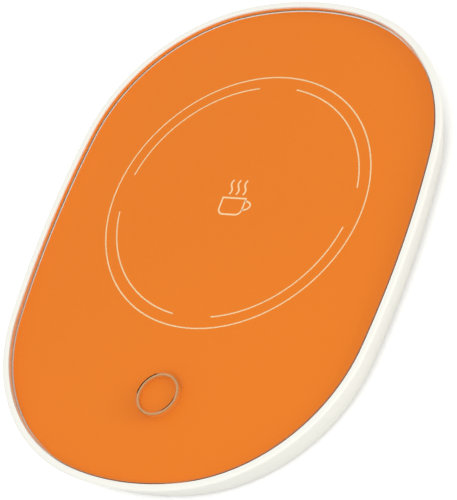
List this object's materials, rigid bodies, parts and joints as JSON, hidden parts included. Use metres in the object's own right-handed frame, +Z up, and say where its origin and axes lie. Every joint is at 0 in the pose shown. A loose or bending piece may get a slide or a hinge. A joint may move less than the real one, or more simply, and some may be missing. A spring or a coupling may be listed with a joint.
{
  "type": "electric mug warmer",
  "caption": "Flat electric mug warmer: rounded oblong white body, flush orange back-printed glass plate with a heating circle, one round push button and a power inlet.",
  "frame": {"origin": "on the table under the middle of the body, at the bottom of the feet", "axes": "+Z up, +Y along the length away from the push button, +X across to the right seen from the button end"},
  "size_m": [0.117, 0.1534, 0.0116],
  "materials": {
    "white_shell": "satin moulded",
    "white_cover": "fine matt moulded",
    "clear_glass": "polished, ground edge",
    "orange_print": "printed behind glass",
    "adhesive": "die-cut adhesive sheet",
    "light_guide": "translucent",
    "clear_cap": "clear polycarbonate",
    "white_carrier": "moulded",
    "switch_case": "moulded",
    "switch_plunger": "moulded",
    "aluminium": "rolled",
    "heater_film": "amber film",
    "track_foil": "etched foil",
    "insulation": "needled felt",
    "tray_steel": "zinc plated",
    "board": "solder mask",
    "inlet_metal": "plated",
    "inlet_black": "moulded",
    "led": "lamp resin",
    "chip": "epoxy",
    "capacitor": "ceramic",
    "resistor": "ceramic",
    "lead_white": "silicone insulation",
    "cutoff_metal": "plated can",
    "sensor_bead": "epoxy bead",
    "sensor_lead": "enamelled",
    "lead_red": "insulation",
    "lead_black": "insulation",
    "screw_steel": "plated",
    "foot_rubber": "moulded rubber"
  },
  "bodies": {
    "body": {"housing": "white_shell", "bottom_cover": "white_cover", "glass_panel": "clear_glass", "print_film": "orange_print", "panel_adhesive": "adhesive", "light_ring": "light_guide", "switch_body": "switch_case", "heat_spreader": "aluminium", "heater_film_front": "heater_film", "heater_film_back": "heater_film", "heater_track": "track_foil", "insulation_pad": "insulation", "heater_tray": "tray_steel", "main_board": "board", "inlet_board": "board", "inlet_shell": "inlet_metal", "inlet_tongue": "inlet_black", "status_leds": "led", "control_chip": "chip", "power_transistor": "chip", "board_capacitors": "capacitor", "board_resistors": "resistor", "inlet_resistors": "resistor", "heater_leads": "lead_white", "thermal_cutoff": "cutoff_metal", "thermistor": "sensor_bead", "thermistor_leads": "sensor_lead", "supply_wire_red": "lead_red", "supply_wire_black": "lead_black", "tray_screws": "screw_steel", "board_screws": "screw_steel", "inlet_screws": "screw_steel", "cover_screws": "screw_steel", "foot_front_left": "foot_rubber", "foot_front_right": "foot_rubber", "foot_back_left": "foot_rubber", "foot_back_right": "foot_rubber"},
    "button": {"button_cap": "clear_cap", "button_film": "orange_print", "button_carrier": "white_carrier", "switch_plunger": "switch_plunger"}
  },
  "joints": [
    {"name": "button_press", "type": "slide", "parent": "body", "child": "button", "axis": [0, 0, -1], "range_m": [0, 0.0005], "stiffness_N_per_m": 3000}
  ]
}
